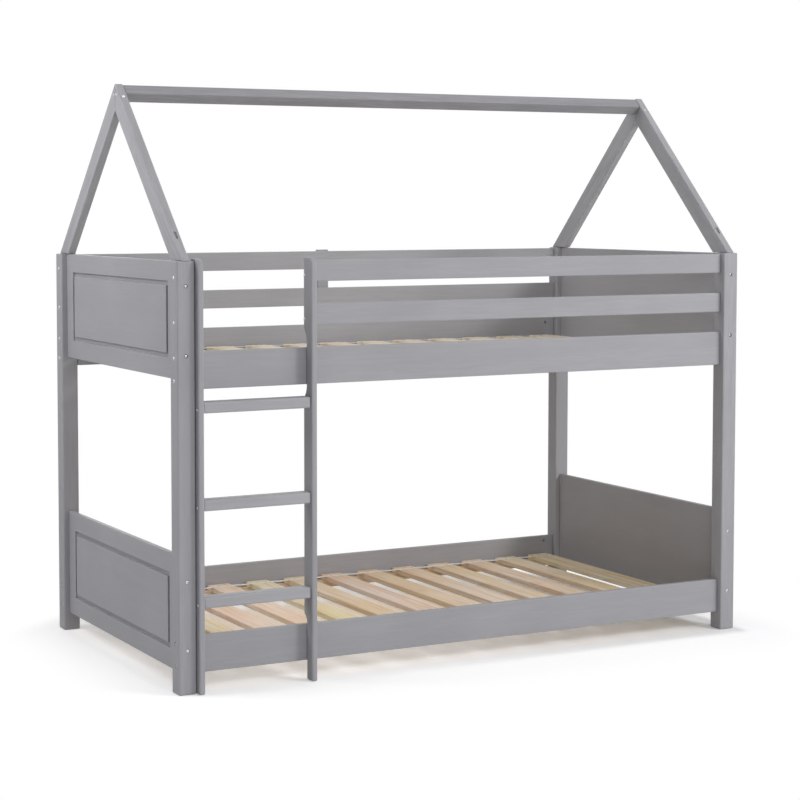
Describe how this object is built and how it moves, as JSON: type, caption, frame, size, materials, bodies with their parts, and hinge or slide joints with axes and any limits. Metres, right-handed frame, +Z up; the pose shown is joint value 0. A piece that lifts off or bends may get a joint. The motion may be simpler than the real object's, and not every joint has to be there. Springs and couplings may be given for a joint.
{
  "type": "bunk bed",
  "caption": "House-frame bunk bed with a fixed ladder, guard rails, routed end panels, slatted bases and a pitched roof frame with a ridge beam.",
  "frame": {"origin": "centre of the bounding box at floor level, z = 0 under the posts' feet", "axes": "+X along the bed's length, away from the ladder end; +Y from the ladder side to the back; +Z up"},
  "size_m": [1.98, 1.05, 1.7648],
  "materials": {
    "grey_paint": "satin",
    "bare_pine": "matte"
  },
  "bodies": {
    "root": {"end_panel_lower_left": "grey_paint", "end_panel_lower_right": "grey_paint", "end_panel_upper_left": "grey_paint", "end_panel_upper_right": "grey_paint", "guard_batten_back": "grey_paint", "guard_rail_back_middle": "grey_paint", "guard_rail_back_top": "grey_paint", "guard_rail_front_middle": "grey_paint", "guard_rail_front_top": "grey_paint", "ladder_rung_1": "grey_paint", "ladder_rung_2": "grey_paint", "ladder_rung_3": "grey_paint", "ladder_stile_left": "grey_paint", "ladder_stile_right": "grey_paint", "post_back_left": "grey_paint", "post_back_right": "grey_paint", "post_front_left": "grey_paint", "post_front_right": "grey_paint", "rafter_back_left": "grey_paint", "rafter_back_right": "grey_paint", "rafter_front_left": "grey_paint", "rafter_front_right": "grey_paint", "ridge_beam": "grey_paint", "side_rail_lower_back": "grey_paint", "side_rail_lower_front": "grey_paint", "side_rail_upper_back": "grey_paint", "side_rail_upper_front": "grey_paint", "slat_ledger_lower_back": "bare_pine", "slat_ledger_lower_front": "bare_pine", "slat_ledger_upper_back": "grey_paint", "slat_ledger_upper_front": "grey_paint", "slat_lower_01": "bare_pine", "slat_lower_02": "bare_pine", "slat_lower_03": "bare_pine", "slat_lower_04": "bare_pine", "slat_lower_05": "bare_pine", "slat_lower_06": "bare_pine", "slat_lower_07": "bare_pine", "slat_lower_08": "bare_pine", "slat_lower_09": "bare_pine", "slat_lower_10": "bare_pine", "slat_lower_11": "bare_pine", "slat_lower_12": "bare_pine", "slat_lower_13": "bare_pine", "slat_upper_01": "bare_pine", "slat_upper_02": "bare_pine", "slat_upper_03": "bare_pine", "slat_upper_04": "bare_pine", "slat_upper_05": "bare_pine", "slat_upper_06": "bare_pine", "slat_upper_07": "bare_pine", "slat_upper_08": "bare_pine", "slat_upper_09": "bare_pine", "slat_upper_10": "bare_pine", "slat_upper_11": "bare_pine", "slat_upper_12": "bare_pine", "slat_upper_13": "bare_pine"}
  },
  "joints": []
}
